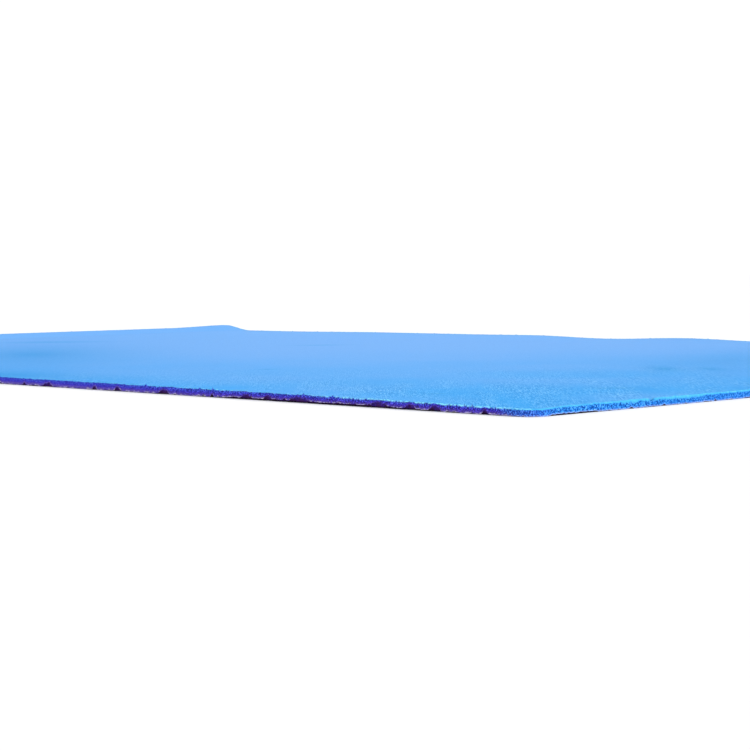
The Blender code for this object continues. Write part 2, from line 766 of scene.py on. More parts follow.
@dataclass(frozen=True)
class Spot:
    """A point of the plain slab near its edge, with what the cut does there.

    Args:
        height: above the floor.
        depth: below the upper face.
        along: distance along the outline.
        inset: distance inside the outline.
        before_corner: distance along the outline to the near corner, less than 0 past it.
        stroke: the blade stroke.
        near_edge: how far it is moved with the edge, from 0 to 1.
        on_cut: how far it lies on the cut, from 0 to 1.
        torn: how far it lies where foam is torn away, from 0 to 1.
        tear: height up to which foam is torn away.
        seat: height of the point once the cut is pushed up by the tear.
        frayed: how far the fibres stand up or sink, from about -1 to 1.
        shred: height of a shred.
        nick: how much of the nick there is, from 0 to 1.
    """

    height: float
    depth: float
    along: float
    inset: float
    before_corner: float
    stroke: BladeStroke
    near_edge: float
    on_cut: float
    torn: float
    tear: float
    seat: float
    frayed: float
    shred: float
    nick: float


@dataclass(frozen=True)
class Relief:
    """What the cut does to a point near the edge: its move, and its share of each tint."""

    move: Vector
    shares: dict[Tint, float]


@dataclass(frozen=True)
class TearLine:
    """The line up to which foam is torn away at the bottom of the cut."""

    # The torn strip holds painted shade, so these stretches make it taller where that shade stands for a
    # wider shadow under the edge: along the side at -Y, and just past the near corner for the shadow under
    # a lifted edge.
    wide_shadow: Stretch = Stretch(Fade(31.5 * MM, 58.5 * MM), Fade(126.5 * MM, 103.5 * MM))
    lifted: Stretch = Stretch(Fade(3.0 * MM, 9.0 * MM), Fade(30.0 * MM, 14.0 * MM))
    least_gap: float = 0.32  # shares of the stroke's gap
    wide_shadow_gap: float = 0.68
    lifted_gap: float = 0.95
    uneven_gap: float = 0.4
    notch_reach: float = 8.0 * MM  # beyond which a notch is no longer felt
    notch_narrowing: float = 0.85
    notch_squareness: int = 3
    raggedness: float = 0.192 * MM
    notch_raggedness: float = 0.288  # for each metre that a notch is high
    lowest: float = 0.06 * MM
    least_foam: float = 0.45 * MM  # always left above the line

    def gap(self, spot_gap: float, along: float, before_corner: float) -> float:
        """Finds the height of the torn strip between two notches.

        Args:
            spot_gap: that of the blade stroke.
            along: distance along the outline.
            before_corner: distance to the near corner, less than 0 past it.

        Returns:
            The height.
        """
        share = self.least_gap + self.wide_shadow_gap * self.wide_shadow.at(before_corner)
        share += self.lifted_gap * self.lifted.at(-before_corner)
        return spot_gap * (share + self.uneven_gap * Ripple.GAP.at(along))

    def height(self, gap: float, along: float, notches: Iterable[Tear]) -> float:
        """Finds the height of the line with its notches and its ragged run.

        Args:
            gap: height of the strip between two notches.
            along: distance along the outline.
            notches: those within reach.

        Returns:
            The height.
        """
        height = gap
        for notch in notches:
            far = self.notch_narrowing * abs(along - notch.place) / notch.half_width
            height = max(height, gap + (notch.height - gap) * math.exp(-(far**self.notch_squareness)))
        ragged = self.raggedness + self.notch_raggedness * max(0.0, height - gap)
        return height + ragged * Ripple.TEAR_LINE.at(along)


@dataclass(frozen=True)
class UpperLip:
    """The torn lip at the top of the cut, which grows away from the near corner."""

    reach: float = 2.0 * MM  # from the outline to where the skin lies flat again
    depths: Fade = Fade(0.7 * MM, 0.1 * MM)  # below the skin, over which the wall follows the lip
    ragged_growth: Fade = Fade(5.0 * MM, 65.0 * MM)
    clean_growth: Fade = Fade(2.0 * MM, 14.0 * MM)
    least: float = 0.2
    swell: float = 0.3
    broad: Stretch = Stretch(Fade(25.0 * MM, 42.0 * MM), Fade(80.0 * MM, 62.0 * MM))
    narrow_tint: float = 0.8
    broad_tint: float = 0.7
    tint_unevenness: float = 0.35
    tint_softness: float = 0.1 * MM
    shaded_lip_off: float = 0.5
    nicked_off: float = 0.9

    def part(self, spot: Spot) -> float:
        """How far a spot is a part of the lip, from 0 to 1."""
        return self.depths.at(spot.depth) * spot.near_edge

    def rise(self, spot: Spot) -> float:
        """Finds how far the lip, its fibres and its shreds lift a spot.

        Args:
            spot: the spot.

        Returns:
            The height that is added.
        """
        before = spot.before_corner
        grown = self.ragged_growth.at(before) if before > 0.0 else self.clean_growth.at(-before)
        size = self.least + (1.0 - self.least) * grown + self.swell * Ripple.LIP_SWELL.at(spot.along)
        fibres = spot.on_cut * (spot.stroke.fray * spot.frayed + spot.shred)
        return self.part(spot) * (spot.stroke.upper_lip * size + fibres)

    def depth(self, spot: Spot) -> float:
        """How far down the cut the lip's tint reaches."""
        size = self.narrow_tint + self.broad_tint * self.broad.at(-spot.before_corner)
        return spot.stroke.lip_depth * size

    def drift(self, spot: Spot) -> float:
        """How far the tint's lower border runs up at a spot, or down where it is less than 0."""
        uneven = self.tint_unevenness * (spot.frayed + Ripple.LIP_DRIFT.at(spot.along))
        return self.depth(spot) * uneven

    def tint(self, spot: Spot, corner_shade: float) -> float:
        """Finds the share of the lip's tint.

        Args:
            spot: the spot.
            corner_shade: how much painted violet shade is carried round the near corner, from 0 to 1.

        Returns:
            The share.
        """
        border, soft = self.depth(spot), self.tint_softness
        reached = ramp(spot.depth + self.drift(spot), border + soft, border - soft)
        kept = (1.0 - self.shaded_lip_off * corner_shade * spot.stroke.violet) * (1.0 - self.nicked_off * spot.nick)
        return reached * spot.near_edge * kept


@dataclass(frozen=True)
class Fringe:
    """The bright fibres along the top of the cut: a painted highlight where they catch the light."""

    ragged: Fade = Fade(100.0 * MM, 55.0 * MM)
    clean: Fade = Fade(8.0 * MM, 30.0 * MM)
    clean_brightness: float = 0.2
    dull_cover: float = -0.10
    bright_cover: float = 0.8
    patching: CleanToViolet = CleanToViolet(0.5, 1.5)
    fibres: CleanToViolet = CleanToViolet(0.0, 0.8)
    shreds: Fade = Fade(0.2 * MM, 0.05 * MM)  # heights over which a shred hides it
    thin: float = 0.08 * MM
    thickening: float = 0.12 * MM
    thick: Fade = Fade(3.0 * MM, 14.0 * MM)
    softness: float = 0.1 * MM

    def tint(self, spot: Spot, depth: float, opening: float) -> float:
        """Finds the share of the fringe's tint.

        Args:
            spot: the spot.
            depth: how far below the lip's ragged top the spot lies.
            opening: how far the cells are open, from 0 to 1.

        Returns:
            The share.
        """
        before = spot.before_corner
        bright = self.clean_brightness * self.clean.at(-before) if before < 0.0 else self.ragged.at(before)
        violet = spot.stroke.violet
        patches = Ripple.FRINGE_PATCHES.at(spot.along) + self.fibres.at(violet) * spot.frayed
        cover = self.bright_cover * bright + self.dull_cover + self.patching.at(violet) * patches
        cover *= opening * self.shreds.at(spot.shred) * (1.0 - spot.nick)
        border = self.thin + self.thickening * bright * self.thick.at(before)
        return ramp(depth, border + self.softness, border) * spot.on_cut * clamp(cover)


@dataclass(frozen=True)
class LowerRim:
    """The thin rim of the lower lip, which whitens in patches where its fibres are drawn out."""

    top: float = 0.46 * MM
    unevenness: CleanToViolet = CleanToViolet(0.0, 0.20 * MM)
    softness: float = 0.12 * MM
    out: float = 0.08 * MM  # how far it stands out of the cut
    cover: CleanToViolet = CleanToViolet(0.80, 0.68)
    patching: CleanToViolet = CleanToViolet(0.3, 1.2)
    fine_patching: CleanToViolet = CleanToViolet(0.0, 1.3)
    tears: Fade = Fade(1.0 * MM, 0.6 * MM)  # heights of a tear over which the rim is torn off

    def part(self, spot: Spot) -> float:
        """How far a spot is a part of the rim, from 0 to 1."""
        top = self.top + self.unevenness.at(spot.stroke.violet) * Ripple.RIM_TOP.at(spot.along)
        return ramp(spot.height, top + self.softness, top) * (spot.on_cut - spot.torn)

    def tint(self, spot: Spot) -> float:
        """Finds how white the rim is.

        Args:
            spot: the spot.

        Returns:
            A share from 0 to 1.
        """
        violet = spot.stroke.violet
        cover = self.cover.at(violet) + self.patching.at(violet) * Ripple.RIM_PATCHES.at(spot.along)
        cover += self.fine_patching.at(violet) * Ripple.FINE_RIM_PATCHES.at(spot.along)
        return self.part(spot) * self.tears.at(spot.tear) * clamp(cover)


@dataclass
class CutEdge:
    """The relief of the guillotined edge, all the way round the sheet.

    The tears of the near sides are given in millimetres: their distance from the near corner, their half
    width and their height. The noise of the cells is seeded, so that each run gives the same relief.

    Args:
        outline: of the sheet.
        thickness: of the sheet.
        arris: rounding of the blank's upper arris.
    """

    outline: Outline
    thickness: float
    arris: float
    # the side at -Y takes the full painted violet shade, the plain sides a little of it
    ragged: BladeStroke = BladeStroke(0.33 * MM, 0.22 * MM, 0.04 * MM, 0.17 * MM, 0.60 * MM, violet=1.0)
    clean: BladeStroke = BladeStroke(0.36 * MM, 0.50 * MM, 0.30 * MM, 0.09 * MM, 0.38 * MM, violet=0.0)
    plain: BladeStroke = BladeStroke(0.03 * MM, 0.40 * MM, 0.40 * MM, 0.08 * MM, 0.40 * MM, violet=0.2)
    ragged_notches: TearRange = TearRange(gap_mm=(7, 26), half_width_mm=(0.8, 3.2), height_mm=(0.9, 1.6))
    clean_notches: TearRange = TearRange(gap_mm=(12, 45), half_width_mm=(0.4, 0.9), height_mm=(0.4, 0.7))
    loose_shreds: TearRange = TearRange(gap_mm=(9, 40), half_width_mm=(0.2, 0.4), height_mm=(0.12, 0.28))
    near_notches_mm: tuple[tuple[float, float, float], ...] = (
        (16.2, 0.9, 1.25),
        (33.7, 1.8, 1.50),
        (42.7, 1.6, 1.50),
        (55.0, 3.0, 1.60),
        (71.0, 0.8, 0.75),
        (86.8, 3.3, 1.55),
        (93.1, 0.5, 1.10),
        (100.5, 1.3, 1.40),
        (110.0, 1.8, 1.45),
        (115.0, 3.0, 0.60),
        (125.5, 0.7, 0.90),
        (148.6, 2.1, 1.35),
        (172.3, 1.5, 1.45),
        (184.5, 1.0, 1.20),
        (210.7, 2.1, 1.30),
        (224.1, 1.1, 1.00),
    )
    near_shreds_mm: tuple[tuple[float, float, float], ...] = (
        (12.6, 0.25, 0.25),
        (20.6, 0.22, 0.34),
        (23.3, 0.25, 0.32),
        (73.1, 0.30, 0.35),
        (85.1, 0.35, 0.40),
        (125.3, 0.30, 0.60),
        (131.4, 0.30, 0.35),
        (157.8, 0.40, 0.60),
    )
    nick_mm: tuple[float, float, float] = (48.8, 0.9, 0.60)
    drawn_width: float = 0.85  # share of a near tear's half width, as a tear looks wider than it is cut
    loose_start: float = 12.0 * MM  # beyond the last near notch, to where tears are drawn
    seed: int = 7
    turn_reach: float = 4.5 * MM  # on each side of a turn, over which two strokes blend
    turn_shift: float = 7.0 * MM  # from the middle of a corner to the turn
    shred_reach: float = 1.0 * MM
    shreds_at_once: int = 2
    fine_fibres: float = 0.5
    cut_border: Fade = Fade(0.25 * MM, 0.02 * MM)  # distances inside the arris where the cut ends
    seam: float = 0.35 * MM  # height on the blank at which the cut meets the torn foam
    seam_edge: float = 0.01 * MM
    seam_step: float = 0.13 * MM
    recess: float = 0.25 * MM
    notch_recess: float = 0.45 * MM
    notch_heights: Fade = Fade(0.5 * MM, 1.2 * MM)
    hollow: float = 0.07 * MM
    hollow_border: float = 0.4 * MM
    nick_depth: float = 0.35 * MM
    cell_size: float = 0.45 * MM
    cell_relief: float = 0.12 * MM
    cell_lift: float = 0.5
    opening: Fade = Fade(200.0 * MM, 110.0 * MM)
    least_open: float = 0.4
    closing: Fade = Fade(30.0 * MM, 90.0 * MM)
    clean_closing: float = 0.45
    open_violet: CleanToViolet = CleanToViolet(0.6, 1.0)
    # painted violet shade carried a little way round the near corner, which also takes the lip's tint off
    # there
    corner_shade: Fade = Fade(10.0 * MM, -3.0 * MM)
    corner_shade_violet: float = 0.42
    # the painted violet shade is weaker towards the top of the cut
    violet_top: float = 1.0 * MM
    violet_paling: float = 0.3
    lip_on_rim: CleanToViolet = CleanToViolet(0.25, 0.0)
    rim_tint: CleanToViolet = CleanToViolet(0.38, 1.0)
    bloom: float = 0.17
    bloom_closed: float = 0.12
    bloom_heights: Fade = Fade(1.3 * MM, 0.7 * MM)
    # painted shade with red bounce light, low on the violet cut, in the recess's maroon
    purple: float = 0.4
    purple_heights: Fade = Fade(1.4 * MM, 0.5 * MM)
    # how much painted shade the torn recess takes, more low down and in patches
    recess_shade_cover: float = 0.5
    recess_shade_low: float = 0.5
    recess_shade_patching: float = 0.5
    recess_shade_heights: Fade = Fade(1.35 * MM, 0.5 * MM)
    shade_heights: Fade = Fade(0.6 * MM, 0.25 * MM)
    nick_shade: float = 0.3
    line: TearLine = TearLine()
    lip: UpperLip = UpperLip()
    fringe: Fringe = Fringe()
    rim: LowerRim = LowerRim()
    notches: list[Tear] = field(default_factory=list)
    shreds: list[Tear] = field(default_factory=list)
    nick: Tear = field(init=False)
    near_corner: float = field(init=False)

    def __post_init__(self) -> None:
        """Places the tears: those of the near side from the listed ones, and the others by draw."""
        noise.seed_set(self.seed)
        draw = random.Random(self.seed)
        starts = self.outline.starts()
        self.near_corner = starts[1] - self.outline.arc() / 2
        corner_saving = self.outline.radius - self.outline.arc() / 2
        for tears, near in ((self.notches, self.near_notches_mm), (self.shreds, self.near_shreds_mm)):
            for distance, half_width, height in near:
                place = self.near_corner + corner_saving - distance * MM
                tears.append(Tear(place, self.drawn_width * half_width * MM, height * MM))
        distance, half_width, height = self.nick_mm
        self.nick = Tear(self.near_corner - corner_saving + distance * MM, half_width * MM, height * MM)
        loose_end = self.near_corner - self.near_notches_mm[-1][0] * MM - self.loose_start
        for side, (start, end) in enumerate(zip(starts, (loose_end, *starts[2:]))):
            notch_range = self.ragged_notches if side == 0 else self.clean_notches
            self.notches.extend(notch_range.scattered(draw, start, end))
            self.shreds.extend(self.loose_shreds.scattered(draw, start, end))
        self.notches.sort(key=lambda tear: tear.place)
        self.shreds.sort(key=lambda tear: tear.place)

    def stroke_at(self, along: float) -> BladeStroke:
        """Finds the blade stroke at a place. The short sides' strokes run on a little past each corner.

        Args:
            along: how far along the outline the place lies.

        Returns:
            The stroke there, blended with the next side's one near each corner.
        """
        sides = (self.ragged, self.clean, self.plain, self.plain)
        starts = self.outline.starts()
        turns = [
            place - self.outline.arc() / 2 + (self.turn_shift if side % 2 == 0 else -self.turn_shift)
            for side, place in enumerate(starts)
        ]
        if along < turns[0]:
            along += starts[-1]
        side = bisect.bisect_right(turns, along) - 1
        since, until = along - turns[side], turns[side + 1] - along
        if since < self.turn_reach:
            coming = HALFWAY + HALFWAY * ramp(since, 0.0, self.turn_reach)
            return sides[side - 1].turning_into(sides[side], coming)
        leaving = HALFWAY - HALFWAY * ramp(until, 0.0, self.turn_reach)
        return sides[side].turning_into(sides[(side + 1) % len(sides)], leaving)

    def tear_height(self, along: float, gap: float) -> float:
        """Finds how high above the floor foam is torn away at a place along the edge.

        Args:
            along: distance along the outline.
            gap: height of the torn strip that the blade stroke leaves.

        Returns:
            The height.
        """
        reach = self.line.notch_reach
        first = bisect.bisect_left(self.notches, along - reach, key=lambda tear: tear.place)
        last = bisect.bisect_right(self.notches, along + reach, key=lambda tear: tear.place)
        gap = self.line.gap(gap, along, self.near_corner - along)
        height = self.line.height(gap, along, self.notches[first:last])
        return min(self.thickness - self.line.least_foam, max(self.line.lowest, height))

    def shred_height(self, along: float) -> float:
        """Finds how high a shred stands on the upper lip at a place along the edge.

        Args:
            along: distance along the outline.

        Returns:
            The height.
        """
        first = bisect.bisect_left(self.shreds, along - self.shred_reach, key=lambda tear: tear.place)
        shreds = self.shreds[first : first + self.shreds_at_once]
        return sum(shred.height * shred.share(along) for shred in shreds)

    def spot(self, point: Vector) -> Spot:
        """Looks up what the cut does at a point.

        Args:
            point: a point of the slab, which has z from 0 to the thickness.

        Returns:
            The spot.
        """
        height = point.z
        along = self.outline.along(point.x, point.y)
        inset = self.outline.inset(point.x, point.y)
        stroke = self.stroke_at(along)
        on_cut = self.cut_border.at(inset - self.arris)
        tear = self.tear_height(along, stroke.gap)
        above_seam = (height - self.seam) / (self.thickness - self.seam)
        seat = height / self.seam * tear
        if above_seam >= 0.0:
            seat = tear + above_seam * (self.thickness - tear)
        return Spot(
            height=height,
            depth=self.thickness - height,
            along=along,
            inset=inset,
            before_corner=self.near_corner - along,
            stroke=stroke,
            near_edge=ramp(inset, self.lip.reach, self.arris),
            on_cut=on_cut,
            torn=on_cut if height < self.seam - self.seam_edge else 0.0,
            tear=tear,
            seat=seat,
            frayed=Ripple.FIBRES.at(along) + self.fine_fibres * Ripple.FINE_FIBRES.at(along),
            shred=self.shred_height(along),
            nick=self.nick.share(along),
        )

    def step_out(self, spot: Spot) -> float:
        """Finds how far the rim, the torn foam and the hollow of the cut move a spot outwards.

        Args:
            spot: the spot.

        Returns:
            The distance, less than 0 for a move inwards.
        """
        low, high = self.seam - self.seam_step, self.seam - self.seam_edge
        below = ramp(spot.height, high, low) * spot.on_cut
        recess = self.recess + self.notch_recess * self.notch_heights.at(spot.tear)
        wall = ramp(spot.height, self.seam, self.seam + self.hollow_border)
        wall *= ramp(spot.depth, 0.0, self.hollow_border) * spot.on_cut
        return self.rim.part(spot) * self.rim.out - below * recess - wall * self.hollow

    def drawn_over(self, spot: Spot) -> float:
        """Finds how far the blade has drawn the upper arris over.

        Args:
            spot: the spot.

        Returns:
            The distance that it lies further in.
        """
        over = spot.stroke.round_over
        if spot.inset <= self.arris + TINY:
            into = min(over, max(0.0, spot.height - (self.thickness - over)))
            rounded = over - math.sqrt(max(0.0, over * over - into * into))
            return rounded - max(0.0, spot.inset) * ramp(spot.height, 0.0, self.thickness)
        if spot.height > self.thickness / 2:
            return (over - self.arris) * spot.near_edge
        return 0.0

    def move(self, point: Vector, spot: Spot) -> Vector:
        """Finds how the cut moves a point.

        Args:
            point: the point of the slab.
            spot: what the cut does there.

        Returns:
            The move, which leads nowhere below the floor.
        """
        outward = self.outline.outward(point.x, point.y)
        nicked = spot.nick * self.lip.part(spot)
        cells = noise.noise_vector(point / self.cell_size) * self.cell_relief * spot.on_cut
        out = self.step_out(spot) - self.drawn_over(spot) - self.nick_depth * nicked * spot.on_cut
        rise = (spot.seat - spot.height) * spot.on_cut + self.lip.rise(spot) - nicked * self.nick.height
        rise = max(rise + cells.z * self.cell_lift, -spot.height)
        return outward * (out + cells.dot(outward)) + Vector((0.0, 0.0, rise))

    def shares(self, spot: Spot) -> dict[Tint, float]:
        """Finds how much of each tint there is at a spot.

        Args:
            spot: the spot.

        Returns:
            The tints' shares.
        """
        violet = spot.stroke.violet
        opening = self.opening.at(spot.before_corner)
        opened = self.least_open + (1.0 - self.least_open) * opening
        opened *= 1.0 - self.clean_closing * self.closing.at(-spot.before_corner)
        corner_shade = self.corner_shade.at(-spot.before_corner)
        paled = 1.0 - self.violet_paling * ramp(spot.height, self.violet_top, self.thickness)
        white = self.rim.tint(spot)
        bloom = (self.bloom - self.bloom_closed * opened) * self.bloom_heights.at(spot.height)
        torn = self.recess_shade_cover + self.recess_shade_low * self.recess_shade_heights.at(spot.seat)
        torn += self.recess_shade_patching * Ripple.RECESS_SHADE_PATCHES.at(spot.along)
        purple = self.purple * violet * self.purple_heights.at(spot.height) * spot.on_cut
        return {
            # painted violet shade: the side's share, less near the top, and the share carried round the
            # near corner
            Tint.VIOLET: max(violet * paled, self.corner_shade_violet * corner_shade),
            Tint.LIP: max(self.lip.tint(spot, corner_shade), self.lip_on_rim.at(violet) * white),
            Tint.FRINGE: self.fringe.tint(spot, spot.depth + self.lip.drift(spot), opening),
            Tint.RIM: max(bloom * violet * (spot.on_cut - spot.torn), self.rim_tint.at(violet) * white),
            # painted shade in the torn recess, and low on the violet cut
            Tint.TORN: max(spot.torn * clamp(torn), purple),
            Tint.SHADE: max(
                spot.torn * self.shade_heights.at(spot.seat) * opened,
                self.nick_shade * spot.nick * self.lip.part(spot),
            ),
            Tint.OPEN: opened * self.open_violet.at(violet),
        }

    def relief(self, point: Vector) -> Relief:
        """Finds how the cut moves and tints a point of the plain flat slab near its edge.

        Args:
            point: a point of the slab, which has z from 0 to the thickness.

        Returns:
            The point's move and tints.
        """
        spot = self.spot(point)
        return Relief(self.move(point, spot), self.shares(spot))


@dataclass
class FoamSheet:
    """The one piece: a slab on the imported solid's outline, with a fine rim that takes the cut's relief.

    Args:
        solid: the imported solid's object.
    """

    solid: bpy.types.Object
    cell: float = 10.0 * MM
    curl_cells: int = 3
    curl_cuts: int = 3
    wave_cells: int = 6
    wave_cuts: int = 2
    near_column: float = 0.28 * MM
    far_column: float = 0.72 * MM
    near_long_side: float = 245.0 * MM
    near_short_side: float = 100.0 * MM
    corner_radius: float = 5.0 * MM
    corner_segments: int = 12
    upper_rounding: float = 0.20 * MM
    upper_segments: int = 3
    lower_rounding: float = 0.12 * MM
    lower_segments: int = 2
    sharp_degrees: float = 60.0
    upper_rings: tuple[float, ...] = (0.30 * MM, 0.60 * MM, 1.20 * MM)
    lower_rings: tuple[float, ...] = (1.20 * MM,)
    wall_heights_mm: tuple[float, ...] = (0.22, 0.32, 0.35, 0.43, 0.55, 0.72, 0.9, 1.08, 1.26, 1.44, 1.62)
    level: float = 0.999  # upward share of a normal from which on a face is level
    cut_level: float = 0.985  # the same, up to which a face at the edge belongs to the cut
    slack: float = 0.02 * MM
    ring_slack: float = 0.1 * MM
    lift_inset: float = 0.6 * MM
    clear: float = 1.0  # from the sheet to where the rays that read its solid start
    skin: FoamSkin = FoamSkin()
    cut: CutFoam = CutFoam()
    outline: Outline = field(init=False)
    below: float = field(init=False)
    surface: BVHTree = field(init=False)
    thickness: float = field(init=False)
    edge: CutEdge = field(init=False)

    def __post_init__(self) -> None:
        """Reads the outline, the thickness and the underside from the solid."""
        low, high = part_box(self.solid.name)
        self.outline = Outline(high.x - low.x, high.y - low.y, self.corner_radius)
        self.below = low.z - self.clear
        mesh = bmesh.new()
        mesh.from_mesh(self.solid.data)
        self.surface = BVHTree.FromBMesh(mesh)
        mesh.free()
        above = Vector((0.0, 0.0, high.z + self.clear))
        top = self.surface.ray_cast(above, Vector((0.0, 0.0, -1.0)))[0].z
        self.thickness = top - self.underside(0.0, 0.0)
        self.edge = CutEdge(self.outline, self.thickness, self.upper_rounding)

    def underside(self, x: float, y: float) -> float:
        """Finds how high the solid's underside lies, read just inside its rounded edge.

        Args:
            x: of the place.
            y: of the place.

        Returns:
            The height.
        """
        inset = self.outline.inset(x, y)
        if inset < self.lift_inset:
            inner = Vector((x, y, 0.0)) - self.outline.outward(x, y) * (self.lift_inset - inset)
            x, y = inner.x, inner.y
        return self.surface.ray_cast(Vector((x, y, self.below)), Vector((0.0, 0.0, 1.0)))[0].z

    @staticmethod
    def cut_across(slab: bmesh.types.BMesh, direction: Vector, places: Iterable[float]) -> None:
        """Divides the slab by planes.

        Args:
            slab: the slab.
            direction: that the planes stand square to.
            places: of the planes, along that direction.
        """
        for place in places:
            bmesh.ops.bisect_plane(
                slab,
                geom=[*slab.verts, *slab.edges, *slab.faces],
                dist=TINY,
                plane_co=direction * place,
                plane_no=direction,
            )

    @staticmethod
    def between(start: float, step: float, cells: int, cuts: int) -> list[float]:
        """Finds the places that divide each of so many cells into so many parts.

        Args:
            start: where the cells start.
            step: from cell to cell.
            cells: how many cells.
            cuts: how many parts.

        Returns:
            The places, without the cells' own ends.
        """
        return [start + step * part / cuts for part in range(1, cells * cuts) if part % cuts]

    def blank(self) -> bmesh.types.BMesh:
        """Makes a flat slab of coarse cells with round corners and rounded arrises.

        Returns:
            The slab.
        """
        slab = bmesh.new()
        bmesh.ops.create_grid(
            slab,
            x_segments=round(self.outline.length / self.cell),
            y_segments=round(self.outline.width / self.cell),
            size=0.5,
        )
        size = Matrix.Diagonal((self.outline.length, self.outline.width, 1.0, 1.0))
        bmesh.ops.transform(slab, matrix=size, verts=slab.verts[:])
        corners = [v for v in slab.verts if len(v.link_edges) == 2]
        bmesh.ops.bevel(
            slab,
            geom=corners,
            offset=self.outline.radius,
            segments=self.corner_segments,
            profile=0.5,
            affect="VERTICES",
            material=-1,
        )
        curl_places = self.between(-self.outline.length / 2, self.cell, self.curl_cells, self.curl_cuts)
        self.cut_across(slab, Vector((1.0, 0.0, 0.0)), curl_places)
        wave_places = self.between(self.outline.width / 2, -self.cell, self.wave_cells, self.wave_cuts)
        self.cut_across(slab, Vector((0.0, 1.0, 0.0)), wave_places)
        grown = bmesh.ops.extrude_face_region(slab, geom=slab.faces[:])["geom"]
        upper = [item for item in grown if isinstance(item, bmesh.types.BMVert)]
        bmesh.ops.translate(slab, vec=(0.0, 0.0, self.thickness), verts=upper)
        bmesh.ops.recalc_face_normals(slab, faces=slab.faces[:])
        self.round_arris(slab, self.thickness, self.upper_rounding, self.upper_segments)
        self.round_arris(slab, 0.0, self.lower_rounding, self.lower_segments)
        return slab

    def round_arris(self, slab: bmesh.types.BMesh, height: float, radius: float, segments: int) -> None:
        """Rounds the sharp edges that run round the slab at one height.

        Args:
            slab: the slab.
            height: of the edges.
            radius: of the rounding.
            segments: of the rounding.
        """
        arris = [
            edge
            for edge in slab.edges
            if edge.calc_face_angle(0.0) > math.radians(self.sharp_degrees)
            and all(abs(v.co.z - height) < TINY for v in edge.verts)
        ]
        bmesh.ops.bevel(
            slab, geom=arris, offset=radius, segments=segments, profile=0.5, affect="EDGES", material=-1
        )

    def add_rings(self, slab: bmesh.types.BMesh) -> None:
        """Insets rings of faces into the upper and the lower face, and rows into the wall.

        Args:
            slab: the slab.
        """
        for up, rings in ((1.0, self.upper_rings), (-1.0, self.lower_rings)):
            region = [face for face in slab.faces if face.normal.z * up > self.level]
            for width in rings:
                ring = bmesh.ops.inset_region(
                    slab, faces=region, thickness=width, use_even_offset=True, use_boundary=True
                )["faces"]
                ring_faces = set(ring)
                region = [face for face in region if face.is_valid and face not in ring_faces]
        self.cut_across(slab, Vector((0.0, 0.0, 1.0)), [height * MM for height in self.wall_heights_mm])

    def column_at(self, place: Vector) -> float:
        """The width of the rim's columns at a place: narrow along the two near sides, wider elsewhere."""
        along = self.outline.along(place.x, place.y) - self.edge.near_corner
        return self.near_column if -self.near_long_side < along < self.near_short_side else self.far_column

    def divide_rim(self, slab: bmesh.types.BMesh) -> None:
        """Divides the edges that run along the rim, into a column for each cell or so of the foam.

        Args:
            slab: the slab.
        """
        inset = {v: self.outline.inset(v.co.x, v.co.y) for v in slab.verts}
        upper_reach = self.upper_rounding + sum(self.upper_rings) - self.ring_slack
        lower_reach = self.lower_rounding + sum(self.lower_rings) - self.ring_slack
        by_cuts: dict[int, list[bmesh.types.BMEdge]] = {}
        for edge in slab.edges:
            first, second = edge.verts
            level = abs(first.co.z - second.co.z) < TINY and abs(inset[first] - inset[second]) < self.slack
            reach = upper_reach if first.co.z > self.thickness / 2 else lower_reach
            if not level or max(inset[first], inset[second]) > reach:
                continue
            place = (first.co + second.co) / 2
            cuts = round(edge.calc_length() / self.column_at(place)) - 1
            if cuts > 0:
                by_cuts.setdefault(cuts, []).append(edge)
        for cuts, edges in by_cuts.items():
            bmesh.ops.subdivide_edges(slab, edges=edges, cuts=cuts, use_grid_fill=True)
        bmesh.ops.triangulate(slab, faces=[face for face in slab.faces if len(face.verts) > 4])

    def shape(self, slab: bmesh.types.BMesh) -> None:
        """Gives the rim its relief and lifts every point as the solid is lifted.

        Args:
            slab: the slab.
        """
        layers = {tint: slab.verts.layers.float.new(tint.value) for tint in Tint}
        for face in slab.faces:
            middle = face.calc_center_median()
            at_edge = self.outline.inset(middle.x, middle.y) < self.upper_rounding + self.slack
            finish = Finish.CUT if at_edge and abs(face.normal.z) < self.cut_level else Finish.SKIN
            face.material_index = finish.value
            face.smooth = finish is Finish.SKIN
        for vert in slab.verts:
            x, y = vert.co.x, vert.co.y
            if self.outline.inset(x, y) < self.edge.lip.reach:
                relief = self.edge.relief(vert.co)
                for tint, share in relief.shares.items():
                    vert[layers[tint]] = share
                vert.co += relief.move
            vert.co.z += self.underside(x, y)

    def dress(self, piece: bpy.types.Object) -> None:
        """Gives the piece its two finishes, in the order of the Finish values."""
        piece.data.materials.append(self.skin.material())
        piece.data.materials.append(self.cut.material())

    def build(self) -> bpy.types.Object:
        """Makes the finished piece, puts it on its body and hides the solid that it stands for.

        Returns:
            The sheet's object, riding on its body.
        """
        slab = self.blank()
        self.add_rings(slab)
        self.divide_rim(slab)
        self.shape(slab)
        mesh = bpy.data.meshes.new("craft_foam_sheet")
        slab.to_mesh(mesh)
        slab.free()
        piece = bpy.data.objects.new("craft_foam_sheet", mesh)
        bpy.context.scene.collection.objects.link(piece)
        self.dress(piece)
        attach(piece, BODY)
        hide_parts(self.solid.name)
        return piece


